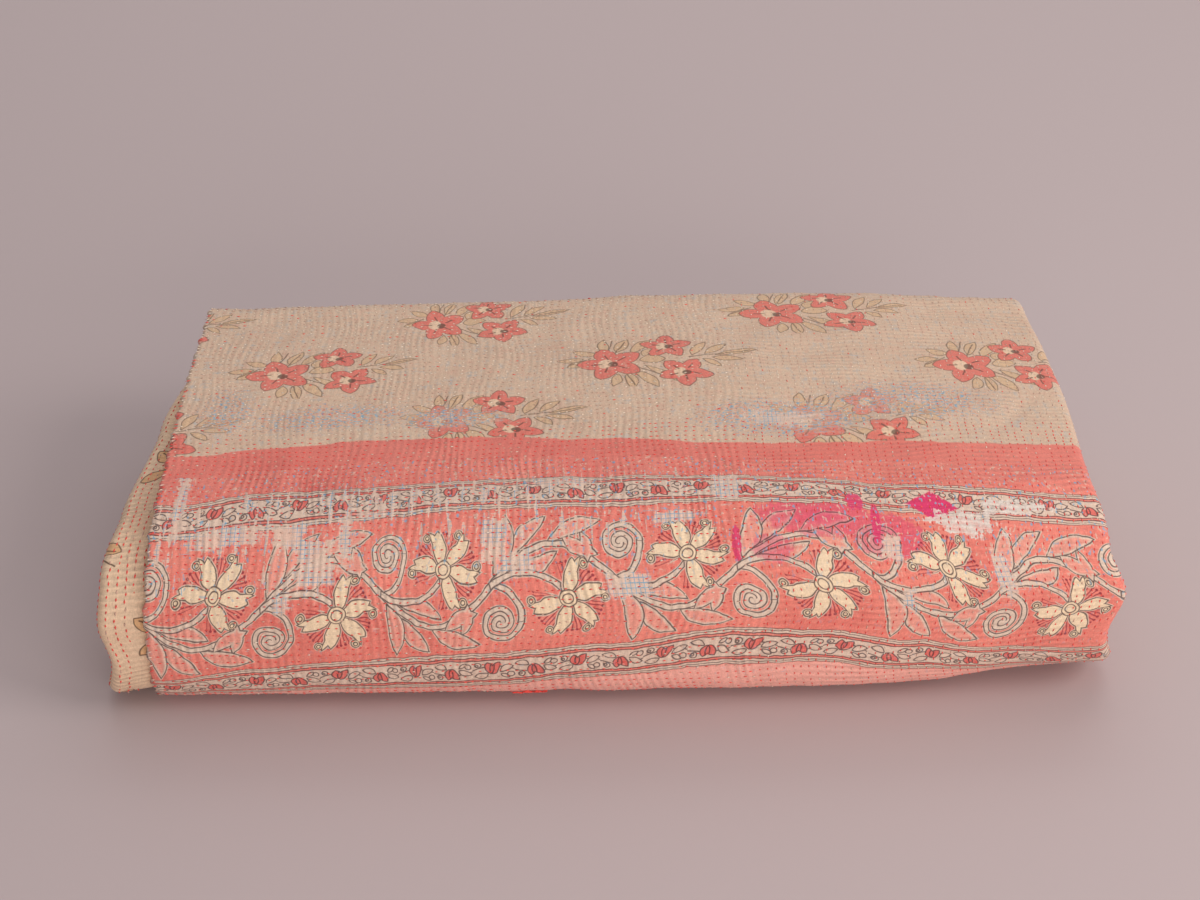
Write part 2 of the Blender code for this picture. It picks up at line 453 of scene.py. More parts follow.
# --- print, drawn as distances ----------------------------------------------------------------------
class Field:
    """A number that varies over the cloth.  Arithmetic on it adds Math nodes to its node tree."""

    def __init__(self, socket):
        self.socket = socket
        self.tree = socket.id_data

    def math(self, operation, *others, first=None):
        node = self.tree.nodes.new("ShaderNodeMath")
        node.operation = operation
        for slot, value in zip(node.inputs, (self if first is None else first, *others)):
            if isinstance(value, Field):
                self.tree.links.new(value.socket, slot)
            else:
                slot.default_value = value
        return Field(node.outputs[0])

    def __add__(self, other):
        return self.math("ADD", other)

    __radd__ = __add__

    def __sub__(self, other):
        return self.math("SUBTRACT", other)

    def __rsub__(self, other):
        return self.math("SUBTRACT", self, first=other)

    def __mul__(self, other):
        return self.math("MULTIPLY", other)

    __rmul__ = __mul__

    def __truediv__(self, other):
        return self.math("DIVIDE", other)

    def __pow__(self, other):
        return self.math("POWER", other)

    def __neg__(self):
        return self.math("MULTIPLY", -1.0)

    def __abs__(self):
        return self.math("ABSOLUTE")

    def scaled(self, factor, plus):
        return self.math("MULTIPLY_ADD", factor, plus)

    def mod(self, period):
        return self.math("FLOORED_MODULO", period)

    def repeat(self, period):
        """Fold into one repeat, from minus half a period to plus half."""
        return (self + period / 2).mod(period) - period / 2

    def rounded(self, low, high):
        return lowest(highest(self.math("ROUND"), low), high)

    def step(self, width):
        """1 where this distance is below zero, 0 above, eased over a width."""
        node = self.tree.nodes.new("ShaderNodeMapRange")
        node.interpolation_type = "SMOOTHSTEP"
        self.tree.links.new(self.socket, node.inputs["Value"])
        for name, value in (("From Min", -width), ("From Max", width), ("To Min", 1.0), ("To Max", 0.0)):
            node.inputs[name].default_value = value
        return Field(node.outputs["Result"])


def lowest(a, b):
    return a.math("MINIMUM", b)


def highest(a, b):
    return a.math("MAXIMUM", b)


def wave(value):
    return value.math("SINE") if isinstance(value, Field) else sin(value)


def distance(x, y):
    return (x * x + y * y).math("SQRT")


def turned(x, y, at, heading):
    """Coordinates about a point, with the first axis along a heading in degrees."""
    c, s = cos(radians(heading)), sin(radians(heading))
    along = x.scaled(c, y.scaled(s, -at[0] * c - at[1] * s))
    across = y.scaled(c, x.scaled(-s, at[0] * s - at[1] * c))
    return along, across


class Shape:
    """A printed figure: its filled part and its ink lines, both as distances in millimetres."""

    def __init__(self, fill, ink, core=None):
        self.fill, self.ink, self.core = fill, ink, core

    def over(self, low):
        """This figure printed over another one."""
        fill = lowest(self.fill, low.fill)
        ink = lowest(self.ink, highest(low.ink, -self.fill))
        core = low.core
        if core is not None:
            core = highest(core, -self.fill)
        if self.core is not None:
            core = self.core if core is None else lowest(core, self.core)
        return Shape(fill, ink, core)


def outlined(fill, core=None):
    return Shape(fill, abs(fill), core)


def lens(x, y, base, tip, half_width, bend=0.0):
    """A leaf pointed at both ends, from base to tip; bend bows its middle sideways."""
    half = hypot(tip[0] - base[0], tip[1] - base[1]) / 2
    middle = ((tip[0] + base[0]) / 2, (tip[1] + base[1]) / 2)
    heading = atan2(tip[1] - base[1], tip[0] - base[0]) * 180 / pi
    along, across = turned(x, y, middle, heading)
    if bend:
        across = across + (along * along).scaled(bend / half ** 2, -bend)
    radius = (half ** 2 + half_width ** 2) / (2 * half_width)
    return distance(along, abs(across) + (radius - half_width)) - radius


def bar(x, y, start, end, half_width):
    """A straight band with round ends."""
    half = hypot(end[0] - start[0], end[1] - start[1]) / 2
    middle = ((end[0] + start[0]) / 2, (end[1] + start[1]) / 2)
    heading = atan2(end[1] - start[1], end[0] - start[0]) * 180 / pi
    along, across = turned(x, y, middle, heading)
    return distance(highest(abs(along) - half, 0.0), across) - half_width


def disc(x, y, at, radius):
    return distance(x - at[0], y - at[1]) - radius


def polar(x, y, at):
    """Distance from a point and the angle round it, in radians."""
    dx, dy = x - at[0], y - at[1]
    return distance(dx, dy), dy.math("ARCTAN2", dx)


def node_group(name, build, outputs):
    """A node group of two coordinates in millimetres; build returns one Field for each output."""
    tree = bpy.data.node_groups.new(name, "ShaderNodeTree")
    for axis in ("X", "Y"):
        tree.interface.new_socket(axis, in_out="INPUT", socket_type="NodeSocketFloat")
    for output in outputs:
        tree.interface.new_socket(output, in_out="OUTPUT", socket_type="NodeSocketFloat")
    start, end = tree.nodes.new("NodeGroupInput"), tree.nodes.new("NodeGroupOutput")
    results = build(Field(start.outputs["X"]), Field(start.outputs["Y"]))
    for output, result in zip(outputs, results):
        tree.links.new(result.socket, end.inputs[output])
    return tree


def use_group(group, x, y):
    node = x.tree.nodes.new("ShaderNodeGroup")
    node.node_tree = group
    x.tree.links.new(x.socket, node.inputs["X"])
    x.tree.links.new(y.socket, node.inputs["Y"])
    return [Field(output) for output in node.outputs]


# --- the scroll border's figures ---------------------------------------------------------------------
SCROLL_REPEAT = 130.2       # one flower above the stem to the next
SCROLL_START = 36.5         # the first one's place along the quilt
SCROLL_MIDDLE = 61.5        # the stem's middle in the print
FLOWER_AT = (39.0, 8.5)
RING = 4.6                  # the flower's middle ring
SPIRAL_AT = (3.5, 18.5)
SPIRAL_REACH = 10.6
SPIRAL_STEP = 4.9
HALO = 1.3                  # cream left between an ink line and a coloured middle


def flower(x, y):
    """Five petals with hooked tips, the sixth place left to the stem, and hairs between them."""
    far, angle = polar(x, y, FLOWER_AT)
    sector = pi / 3
    turn = (angle - radians(46)).repeat(sector)
    px, py = far * turn.math("COSINE"), far * turn.math("SINE")
    petal = lens(px, py, (2.0, -0.3), (19.6, -1.6), 3.9, 0.6)
    petal = lowest(petal, lens(px, py, (9.0, 1.2), (21.2, 3.0), 1.7, -0.9))
    curl = distance(px - 18.7, py - 5.0)
    petal = lowest(petal, curl - 2.2)
    stem_side = (radians(30) - abs((angle - radians(226)).repeat(2 * pi))) * far
    ink = lowest(abs(petal), abs(curl - 1.1))
    ink = highest(ink, highest(stem_side, RING - far))
    ring = lowest(abs(far - RING), abs(far - 2.8))
    petal = highest(petal, stem_side)
    hair_turn = (abs(turn) - sector / 2).repeat(radians(7.5))
    hair = highest(abs(far * hair_turn) - 0.3, abs(far - 13.2) - 4.4)
    hair = lowest(hair, distance(far - 17.9, far * hair_turn) - 0.75)
    hair = highest(hair, highest((radians(13) - abs(turn)) * far, stem_side))
    return Shape(lowest(petal, far - RING), lowest(ink, ring)), highest(hair, 0.9 - petal)


def leaf(x, y, base, tip, half_width, bend=0.0):
    edge = lens(x, y, base, tip, half_width, bend)
    return outlined(edge, edge + HALO)


def scroll_unit(x, y):
    """One flower branch with its spiral, leaves and horn-shaped leaf, about its joint at (0, 0)."""
    bloom, hair = flower(x, y)
    branch = abs(distance(x - 16.5, y - 24.0) - 29.1) - 1.4
    branch = highest(branch, highest(-(x + 1.0), x - 36.5))
    branch = outlined(highest(branch, y - 14.0))

    far, angle = polar(x, y, SPIRAL_AT)
    turn = (angle / (2 * pi)).mod(1.0)
    lap = ((SPIRAL_REACH - far) / SPIRAL_STEP - turn).rounded(0.0, 1.0)
    arm = abs(far - SPIRAL_REACH + (turn + lap) * SPIRAL_STEP) - 1.35
    tail = abs(distance(x + 1.5, y - 15.6) - 15.7) - 1.35
    arm = lowest(arm, highest(tail, highest(-(x + 0.5), y - SPIRAL_AT[1])))
    spiral = Shape(lowest(arm, far - 4.4), abs(arm))

    horn = lens(x, y, (-6.5, 31.0), (-34.5, 20.5), 4.6, -2.2)
    horn = lowest(horn, lens(x, y, (-8.5, 12.5), (-27.0, 22.0), 3.9, 1.6))
    horn = lowest(horn, lens(x, y, (-13.5, 8.5), (-17.0, 25.0), 3.0, -1.0))
    horn = outlined(horn, horn + HALO)

    drop = leaf(x, y, (2.0, -4.5), (8.5, -34.5), 4.9, 2.4)
    spread = leaf(x, y, (11.0, -13.0), (29.5, -34.0), 4.3, -2.0)
    tucked = leaf(x, y, (10.0, -6.0), (35.5, -15.0), 4.0, 2.6)
    unit = bloom.over(branch.over(spiral.over(horn.over(drop.over(spread.over(tucked))))))
    return unit.fill, unit.ink, unit.core, hair, bloom.fill


def main_stem(x, y):
    """The wave that all the branches leave."""
    phase = x * (2 * pi / SCROLL_REPEAT)
    rise = y + phase.math("SINE") * 19.0
    slope = phase.math("COSINE")
    return outlined(abs(rise) / (slope * slope * 0.84 + 1.0).math("SQRT") - 1.45)


def scroll(x, y):
    """The whole scroll: branches above the stem, and the same turned over, half a repeat on."""
    group = node_group("scroll unit", scroll_unit, ("Fill", "Ink", "Core", "Hair", "Petal"))
    window = SCROLL_REPEAT / 2 - 10.0
    joint = x - (SCROLL_START - FLOWER_AT[0])
    above = use_group(group, (joint - 10.0 + SCROLL_REPEAT / 2).mod(SCROLL_REPEAT) - window, y)
    below = use_group(group, (joint - 10.0).mod(SCROLL_REPEAT) - window, -y)
    upper, lower = Shape(*above[:3]), Shape(*below[:3])
    figures = upper.over(lower).over(main_stem(joint, y))
    return figures, lowest(above[3], below[3]), lowest(above[4], below[4])


# --- the vine border --------------------------------------------------------------------------------
VINE_REPEAT = 45.6
VINE_FIELD = 7.0            # half height of its cream field
VINE_STRIPE = 9.2           # outer edge of the coral stripe beside it
VINE_LINE = 12.4            # outer edge of the cream line beyond


def vine(x, y):
    """A thin wavy stem with a bud, leaves and curls, turned over every half repeat."""
    half = VINE_REPEAT / 2
    side = (x / VINE_REPEAT).mod(1.0).math("GREATER_THAN", 0.5) * 2.0 - 1.0
    a, b = x.mod(half) - half / 2, y * side
    stem = abs(b + (x * (2 * pi / VINE_REPEAT)).math("SINE") * side * 2.6 - 0.4)
    bud = lowest(lens(a, b, (-1.8, -1.9), (3.4, 5.6), 2.3), lens(a, b, (-1.8, -1.9), (-2.9, 5.8), 2.2))
    bud = lowest(bud, disc(a, b, (-0.4, 0.8), 2.8))
    seam = abs(lens(a, b, (-1.2, -1.8), (-0.5, 6.2), 1.1))
    leaves = lens(a, b, (4.0, -0.8), (10.8, 2.8), 2.0, 0.6)
    leaves = lowest(leaves, lens(a, b, (-10.4, -4.6), (-3.2, -2.0), 1.9, -0.6))
    leaves = lowest(leaves, lens(a, b, (4.2, -2.4), (8.2, -5.6), 1.2))
    curls = lowest(abs(disc(a, b, (9.4, -3.4), 1.7)), abs(disc(a, b, (-8.0, 4.0), 1.7)))
    curls = lowest(curls, abs(disc(a, b, (-8.6, 3.6), 0.7)))
    ink = lowest(lowest(abs(bud), highest(seam, bud)), lowest(abs(leaves), curls))
    ink = lowest(ink, highest(stem - 0.05, -lowest(bud, leaves)))
    return bud, ink


# --- the bouquets of the ground -----------------------------------------------------------------------
BOUQUET_REPEAT = 206.0
BOUQUET_ROW = 65.0
BOUQUET_START = (55.0, 251.0)
BOUQUET_SLIP = 98.5         # along the quilt from one row to the next
BOUQUET_LEFT = 40.0         # reach of a bouquet to the left of its large flower


def rose(x, y, at, size, heading):
    """An open flower of five pointed petals."""
    far, angle = polar(x, y, at)
    turn = (angle - radians(heading)).repeat(2 * pi / 5)
    share = abs(turn) / (pi / 5)
    edge = (far - size + share ** 1.2 * (size * 0.44)) * 0.8
    eye = distance(x - at[0] + size * 0.16, (y - at[1]) * 0.75) - size * 0.22
    seed = distance(x - at[0] - size * 0.08, y - at[1] + size * 0.06) - size * 0.14
    vein = highest(abs(far * turn) - 0.2, abs(far - size * 0.42) - size * 0.14)
    return edge, eye, lowest(seed, vein)


def bouquet(x, y):
    """Three coral flowers among ochre leaves, with a spray to the right."""
    roses = [rose(x, y, (0.0, 0.0), 20.5, 180), rose(x, y, (33.0, 20.5), 15.5, 162),
             rose(x, y, (42.5, -10.5), 16.5, 60)]
    petals, eyes, seeds = (lowest(lowest(*group[:2]), group[2]) for group in zip(*roses))
    leaves = None
    for base, tip, width in (
            ((-14, 6), (-26, -3), 3.2), ((-16, 8), (-31, 6), 3.0), ((-8, 13), (-22, 19), 3.2),
            ((-3, 14), (-4, 32), 3.4), ((4, 14), (11, 31), 3.6), ((12, 12), (24, 30), 3.4),
            ((4, -14), (1, -28), 3.2), ((10, -12), (12, -32), 3.4), ((14, -10), (27, -29), 3.6),
            ((20, -4), (38, -21), 2.8), ((17, 3), (32, 5), 4.6), ((20, 8), (24, 18), 3.2),
            ((48, 8), (56, 25), 3.0), ((56, 10), (68, 22), 2.8), ((62, 9), (84, 15), 2.6),
            ((60, 6), (76, 3), 2.6), ((54, 4), (64, -4), 2.4)):
        blade = lens(x, y, base, tip, width, 0.8)
        leaves = blade if leaves is None else lowest(leaves, blade)
    ribs = None
    for start, end in (((-24, 0), (-12, 9)), ((2, 30), (-2, 14)), ((13, -28), (8, -8)),
                       ((80, 14), (46, 6)), ((34, -19), (14, -4)), ((9, 28), (2, 10))):
        rib = bar(x, y, start, end, 0.1)
        ribs = rib if ribs is None else lowest(ribs, rib)
    lines = lowest(highest(lowest(abs(leaves), ribs), -petals), abs(petals))
    return petals, highest(eyes, petals), leaves, lowest(lines, seeds)


# --- wear -------------------------------------------------------------------------------------------
# Where the borders are worn through to a pale blue check under them.  Millimetres along the quilt and
# in the print's height.  Columns: place, height, half width, half height, how far gone (0 to 1).
WORN_BORDERS = (
    (14, 128, 6, 44, 0.62),
    (40, 99, 30, 8, 0.74),
    (76, 96, 16, 10, 0.66),
    (90, 80, 13, 16, 0.80),
    (72, 62, 7, 9, 0.56),
    (106, 92, 6, 24, 0.62),
    (120, 104, 30, 8, 0.46),
    (195, 84, 9, 15, 0.84),
    (207, 72, 16, 8, 0.60),
    (232, 122, 40, 9, 0.46),
    (265, 58, 18, 9, 0.66),
    (292, 92, 24, 8, 0.55),
    (321, 114, 8, 13, 0.92),
    (399, 80, 9, 12, 0.60),
    (402, 52, 6, 11, 0.55),
    (458, 72, 8, 20, 0.60),
)
# Where the border's cloth hangs in pale frayed threads.  Same columns.
FRAYED_BORDERS = (
    (440, 98, 26, 9, 0.86),
    (470, 112, 30, 9, 0.62),
)
# Where the ground is rubbed down to its darning.  Same columns.
RUBBED_GROUND = (
    (91, 196, 60, 18, 0.62),
    (30, 210, 22, 36, 0.55),
    (165, 190, 40, 16, 0.70),
    (354, 192, 50, 20, 0.84),
    (429, 210, 60, 24, 0.66),
)
# Places where a magenta cloth shows through.  Same columns.
MAGENTA_SHOWS = (
    (364, 92, 40, 17, 0.60),
    (396, 86, 26, 18, 0.60),
    (340, 72, 16, 12, 0.50),
    (383, 106, 5, 9, 1.00),
    (392, 92, 3, 16, 1.00),
    (323, 74, 3, 13, 1.00),
)


def patches(x, y, table, frayed, sharp, square=True):
    """How far gone the cloth is, from a table of places with ragged edges."""
    total = None
    for place, height, half_wide, half_high, gone in table:
        across, up = (x - place) / half_wide, (y - height) / half_high
        far = highest(abs(across), abs(up)) if square else distance(across, up)
        here = (1.35 - far + (frayed - 0.5) * sharp) * gone
        total = here if total is None else highest(total, here)
    return total


# --- shader assembly --------------------------------------------------------------------------------
class Cloth:
    """A material on printed cotton, with its coordinates and helpers to lay colours over each other."""

    def __init__(self, name, slot_rough=0.92):
        self.material = bpy.data.materials.new(name)
        self.material.use_nodes = True
        self.tree = self.material.node_tree
        self.nodes = self.tree.nodes
        self.shader = self.nodes["Principled BSDF"]
        self.shader.inputs["Roughness"].default_value = slot_rough
        self.shader.inputs["Sheen Weight"].default_value = 0.12
        self.shader.inputs["Sheen Roughness"].default_value = 0.5
        self.shader.inputs["Specular IOR Level"].default_value = 0.22
        self.x, self.y = self.coordinates("Print")
        self.s, self.t = self.coordinates("Cloth")

    def coordinates(self, layer):
        source = self.nodes.new("ShaderNodeUVMap")
        source.uv_map = layer
        parts = self.nodes.new("ShaderNodeSeparateXYZ")
        self.tree.links.new(source.outputs["UV"], parts.inputs[0])
        return [Field(parts.outputs[axis]) * 1000.0 for axis in ("X", "Y")]

    def noise(self, scale_x, scale_y, detail=2.0, rough=0.5, shift=0.0, x=None, y=None):
        """Soft noise over the cloth; the scales are its grain in millimetres."""
        join = self.nodes.new("ShaderNodeCombineXYZ")
        for slot, value, scale in (("X", x or self.s, scale_x), ("Y", y or self.t, scale_y)):
            self.tree.links.new((value.scaled(1.0 / scale, shift)).socket, join.inputs[slot])
        node = self.nodes.new("ShaderNodeTexNoise")
        node.noise_dimensions = "2D"
        node.inputs["Scale"].default_value = 1.0
        node.inputs["Detail"].default_value = detail
        node.inputs["Roughness"].default_value = rough
        self.tree.links.new(join.outputs[0], node.inputs["Vector"])
        return Field(node.outputs["Fac"])

    def mix(self, low, high, share, mode="MIX"):
        """Lay one colour over another.  Colours are tuples or sockets."""
        node = self.nodes.new("ShaderNodeMix")
        node.data_type = "RGBA"
        node.blend_type = mode
        for slot, value in ((node.inputs[6], low), (node.inputs[7], high), (node.inputs[0], share)):
            if isinstance(value, Field):
                self.tree.links.new(value.socket, slot)
            elif isinstance(value, bpy.types.NodeSocket):
                self.tree.links.new(value, slot)
            else:
                slot.default_value = (*value, 1.0) if isinstance(value, tuple) else value
        return node.outputs[2]

    def finish(self, colour, quilting, depth, painted_shade_strength):
        """Thread grain and the painted shade of the stitch ridges and dimples over the colour, then the
        relief.
        """
        height, shade = use_group(quilting, self.s, self.t)
        grain = self.noise(0.8, 2.2, 2.0, 0.7, 3.0) + self.noise(2.4, 0.8, 2.0, 0.7, 9.0) - 1.0
        # Painted shade and light: the quilting shade darkens the colour in the valleys between the
        # ridges and lightens it on them, beside the bump.
        tone = (grain * 0.42 + 1.0) * (shade.scaled(painted_shade_strength, 1.0 - painted_shade_strength * 0.55))
        node = self.nodes.new("ShaderNodeVectorMath")
        node.operation = "SCALE"
        self.tree.links.new(colour, node.inputs[0])
        self.tree.links.new(tone.socket, node.inputs["Scale"])
        self.tree.links.new(node.outputs[0], self.shader.inputs["Base Color"])
        bump = self.nodes.new("ShaderNodeBump")
        bump.inputs["Strength"].default_value = 1.0
        bump.inputs["Distance"].default_value = depth * MM
        self.tree.links.new(height.socket, bump.inputs["Height"])
        self.tree.links.new(bump.outputs[0], self.shader.inputs["Normal"])
        return self.material


def rib_drift(s, t):
    """How far the ridges between stitches stray from even spacing, in millimetres."""
    return (1.9 * wave(0.060 * s + 0.031 * t + 1.0) + 1.3 * wave(0.083 * t - 0.017 * s)
            + 0.6 * wave(0.21 * s + 0.05 * t))


def quilting_group(stitches):
    """Relief and shade of the stitched layers: ridges between the stitches, dimples at them."""
    pitch, row = stitches.pitch / MM, stitches.row / MM
    turn = stitches.turn / MM

    def build(s, t):
        left = (s - turn + wave(0.09 * t) * 2.0).step(5.0)
        first = wave((s + rib_drift(s, t)) * (2 * pi / pitch) - pi / 2)
        second = wave((t + rib_drift(t, s)) * (2 * pi / pitch) - pi / 2)
        down = wave(t * (2 * pi / row) - pi / 2)
        over = wave(s * (2 * pi / row) - pi / 2)
        ridges = left * first + (1.0 - left) * second
        rows = left * down + (1.0 - left) * over
        uneven = 0.58 + 0.24 * wave(0.046 * s + 0.1 * t) + 0.22 * wave(0.031 * t - 0.12 * s)
        shape = (ridges * 0.45 + rows * 0.08) * uneven
        # The second output is painted shade for the colour: darker in the valleys, lighter on the
        # ridges.
        return shape, shape * 0.9 + 0.5

    return node_group("quilting", build, ("Height", "Shade"))


def wobble(cloth):
    """Hand-block unevenness: shift the print's coordinates by a little noise."""
    along = cloth.noise(11.0, 11.0, 1.0, 0.5, 1.0) - 0.5
    across = cloth.noise(9.0, 9.0, 1.0, 0.5, 5.0) - 0.5
    return cloth.x + along * 2.2, cloth.y + across * 2.2


def ragged(cloth):
    """Noise that follows the threads, for worn edges."""
    return cloth.noise(3.2, 14.0, 3.0, 0.65, 2.0) * 0.5 + cloth.noise(15.0, 3.4, 3.0, 0.65, 8.0) * 0.5


def check_cloth(cloth):
    """The pale cloth with fine blue lines that shows where the print is gone."""
    lines = highest(wave(cloth.s * (2 * pi / 2.4)), wave(cloth.t * (2 * pi / 2.6)))
    strong = cloth.noise(13.0, 17.0, 1.0, 0.5, 21.0)
    return cloth.mix(CHECK_PALE, dye("check"), (0.88 - lines).step(0.10) * strong.scaled(3.4, -1.15))


def wear_through(cloth, colour, gone, edge):
    """Lay the under-cloth and scratched threads over the print."""
    scratch_up = cloth.noise(1.6, 12.0, 2.0, 0.6, 4.0)
    scratch_over = cloth.noise(14.0, 1.7, 2.0, 0.6, 6.0)
    scratch = highest(scratch_up, scratch_over)
    threads = (edge - scratch - gone * 0.20).step(0.03)
    holes = (0.50 - gone).step(0.05)
    return cloth.mix(colour, check_cloth(cloth), highest(holes * 0.88, threads * 0.62))


def darned(cloth, colour, gone):
    """Specks of blue and red darning where the ground is rubbed."""
    worn = (0.42 - gone).step(0.22)
    specks = cloth.noise(2.6, 1.4, 1.0, 0.6, 13.0)
    colour = cloth.mix(colour, GROUND_DULL, worn * 0.30)
    colour = cloth.mix(colour, dye("check"), (0.60 - specks).step(0.04) * worn * 0.85)
    return cloth.mix(colour, BUD, (specks - 0.37).step(0.03) * worn * 0.55)


def ground_material(quilting):
    cloth = Cloth("printed ground")
    x, y = wobble(cloth)
    fade = cloth.noise(46.0, 38.0, 3.0, 0.6, 2.0)
    thin = cloth.noise(5.0, 7.0, 3.0, 0.7, 7.0)
    worn_noise = ragged(cloth)
    row = ((y - BOUQUET_START[1]) / BOUQUET_ROW + 0.45).math("FLOOR")
    u = x - BOUQUET_START[0] - row * BOUQUET_SLIP + BOUQUET_LEFT
    v = y - BOUQUET_START[1] - row * BOUQUET_ROW
    group = node_group("bouquet", bouquet, ("Petals", "Eyes", "Leaves", "Lines"))
    petals, eyes, leaves, lines = use_group(group, u.mod(BOUQUET_REPEAT) - BOUQUET_LEFT, v)
    gone = patches(cloth.x, cloth.y, RUBBED_GROUND, worn_noise, 1.6, False)
    strength = (thin - 0.36).step(0.08) * -0.26 + 1.0
    strength = strength * (0.50 - gone).step(0.30).scaled(-0.68, 1.0)
    colour = cloth.mix(dye("ground"), GROUND_DULL, (fade - 0.35) * 0.9)
    colour = cloth.mix(colour, BLUSH, (worn_noise - 0.50) * 2.2)
    colour = cloth.mix(colour, dye("check"), (0.47 - worn_noise) * 1.8)
    colour = cloth.mix(colour, OCHRE, leaves.step(0.5) * 0.55)
    colour = cloth.mix(colour, dye("rose"), petals.step(0.5) * strength * 0.95)
    colour = cloth.mix(colour, dye("petal"), eyes.step(0.5) * 0.85)
    colour = cloth.mix(colour, BROWN, (lines - 0.30).step(0.42) * strength * 0.82)
    band = abs(y - CORAL_MIDDLE) - CORAL_REACH
    edge_line = band + (worn_noise - 0.5) * 3.0
    # Below the lower border the coral is paled: painted bounce light on the down-facing foot, partly
    # fade.
    coral = cloth.mix(cloth.mix(dye("coral_deep"), dye("coral"), fade), CORAL_PALE_PAINTED_LIGHT, y.step(4.0) * 0.7)
    colour = cloth.mix(colour, coral, edge_line.step(0.7))
    colour = darned(cloth, colour, gone * (edge_line - 1.0).step(0.7).scaled(-1.0, 1.0))
    colour = wear_through(cloth, colour, highest(gone * 0.6, 0.0), 0.77)
    # Bump depth in millimetres, then how strongly the ridge shade is painted into the colour.
    return cloth.finish(colour, quilting, 0.36, 0.07)


def border_material(quilting):
    cloth = Cloth("printed borders")
    x, y = wobble(cloth)
    fade = cloth.noise(52.0, 44.0, 3.0, 0.6, 2.0)
    thin = cloth.noise(7.0, 4.0, 3.0, 0.7, 7.0)
    worn_noise = ragged(cloth)
    field = abs(y - BORDER_MIDDLE) - BORDER_REACH
    figures, hair, petals = scroll(x, y - SCROLL_MIDDLE)
    inside = (field + VINE_LINE).step(0.3)
    bud, vine_ink = vine(x, field)
    off = abs(field)
    colour = cloth.mix(dye("coral_deep"), dye("coral"), (fade - 0.1) * 1.5)
    colour = cloth.mix(colour, dye("leaf"), (0.60 - thin).step(0.12) * 0.55)
    # Below the lower border the coral is paled: painted bounce light on the down-facing foot, partly
    # fade.
    colour = cloth.mix(colour, CORAL_PALE_PAINTED_LIGHT, y.step(2.0) * 0.8)
    colour = cloth.mix(colour, dye("cream"), (figures.fill - 0.75).step(0.3) * inside)
    colour = cloth.mix(colour, dye("leaf"), figures.core.step(0.9) * 0.88 * inside)
    colour = cloth.mix(colour, dye("petal"), (petals - 0.2).step(0.4) * inside)
    magenta = patches(cloth.x, cloth.y, MAGENTA_SHOWS[:3], worn_noise, 0.9, False)
    colour = cloth.mix(colour, dye("magenta"), (0.36 - magenta).step(0.05) * highest(magenta, 0.56))
    colour = cloth.mix(colour, HAIR, hair.step(0.3) * inside * 0.9)
    colour = cloth.mix(colour, dye("ink"), (figures.ink - 0.33).step(0.26) * inside * 0.9)
    stripes = lowest(off - VINE_FIELD, highest(off - VINE_LINE, VINE_STRIPE - off))
    colour = cloth.mix(colour, dye("cream"), stripes.step(0.3) * 0.94)
    colour = cloth.mix(colour, BUD, bud.step(0.4) * (off - VINE_FIELD).step(0.3) * 0.9)
    lines = lowest(abs(off - VINE_FIELD - 0.2), abs(off - VINE_STRIPE + 0.2))
    lines = lowest(lines, lowest(abs(off - 10.9) + 0.1, abs(off - VINE_LINE) + 0.12))
    lines = lowest(lines, highest(vine_ink, off - VINE_FIELD))
    colour = cloth.mix(colour, dye("ink"), (lines - 0.36).step(0.28) * 0.88)
    strokes = patches(cloth.x, cloth.y, MAGENTA_SHOWS[3:], worn_noise, 1.2, False)
    colour = cloth.mix(colour, dye("magenta"), (0.55 - strokes).step(0.08) * 0.9)
    diamond = abs(cloth.x - 424.0) * 0.75 + abs(cloth.y - 108.0) - 11.5 + (worn_noise - 0.5) * 6.0
    colour = cloth.mix(colour, dye("magenta"), diamond.step(0.8))
    specks = cloth.noise(2.4, 4.2, 1.0, 0.6, 21.0)
    high_up = (70.0 - cloth.y).step(24.0).scaled(0.8, 0.2)
    colour = cloth.mix(colour, dye("check"), (specks - 0.29).step(0.03) * high_up * 0.75)
    colour = cloth.mix(colour, dye("cream"), (0.70 - specks).step(0.03) * high_up * 0.6)
    gone = patches(cloth.x, cloth.y, WORN_BORDERS, worn_noise, 1.5)
    strips = cloth.noise(3.4, 26.0, 1.0, 0.5, 12.0)
    around = highest(abs(cloth.y - 106.0) / 26.0, (cloth.x - 120.0) / 190.0)
    strips = (strips - 0.53) * 4.2 + (worn_noise - 0.5) * 1.6 - highest(around - 0.6, 0.0)
    colour = wear_through(cloth, colour, highest(highest(gone, strips), 0.0), 0.76)
    frayed = patches(cloth.x, cloth.y, FRAYED_BORDERS, worn_noise, 3.2, False)
    colour = cloth.mix(colour, FRAYED, (0.5 - frayed).step(0.06) * thin.scaled(1.6, 0.0))
    # Bump depth in millimetres, then how strongly the ridge shade is painted into the colour.
    return cloth.finish(colour, quilting, 0.55, 0.12)


LEAF_REPEAT = (74.0, 62.0)  # of the leaf sprigs on the reverse, along and across the quilt
LEAF_START = (12.0, 20.0)


